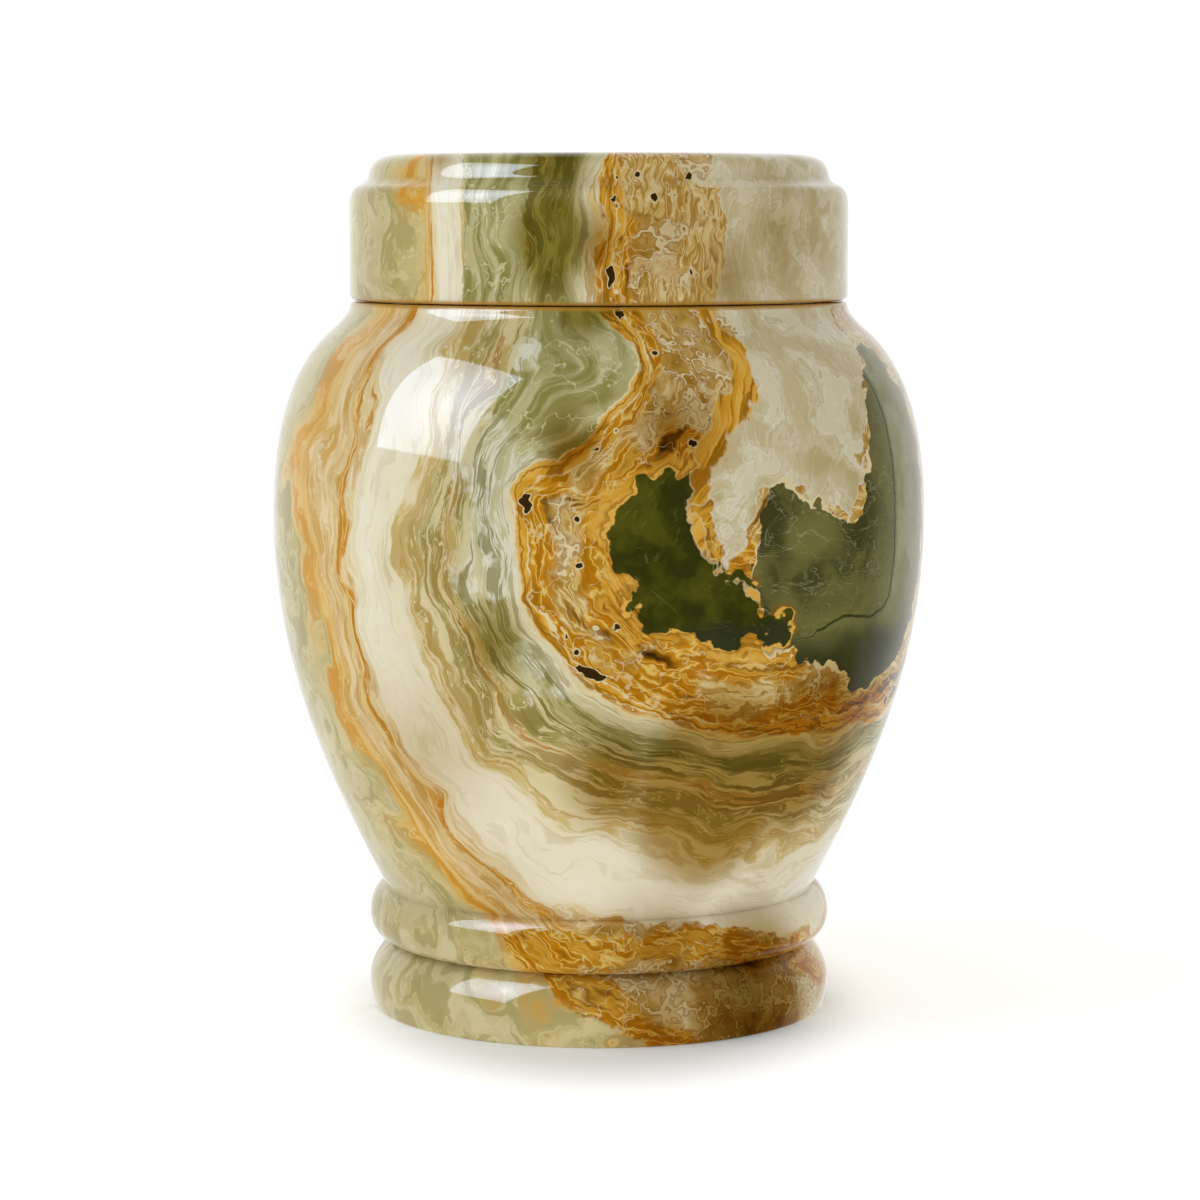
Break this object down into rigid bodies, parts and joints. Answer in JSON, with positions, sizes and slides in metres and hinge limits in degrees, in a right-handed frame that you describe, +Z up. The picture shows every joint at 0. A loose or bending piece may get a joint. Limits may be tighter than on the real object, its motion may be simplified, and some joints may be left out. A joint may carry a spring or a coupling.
{
  "type": "cremation urn",
  "caption": "Turned stone cremation urn: hollow wide-shouldered vessel on a beaded foot, with a stepped lift-off lid located by a spigot in its mouth.",
  "frame": {"origin": "centre of the flat underside", "axes": "+Z up along the axis that the urn is turned about; -Y is the side that shows the main figure of the stone"},
  "size_m": [0.221, 0.221, 0.2894],
  "materials": {
    "onyx": "banded green, cream and amber onyx, turned and polished to a gloss"
  },
  "bodies": {
    "root": {"urn_body": "onyx", "urn_lid": "onyx"}
  },
  "joints": []
}
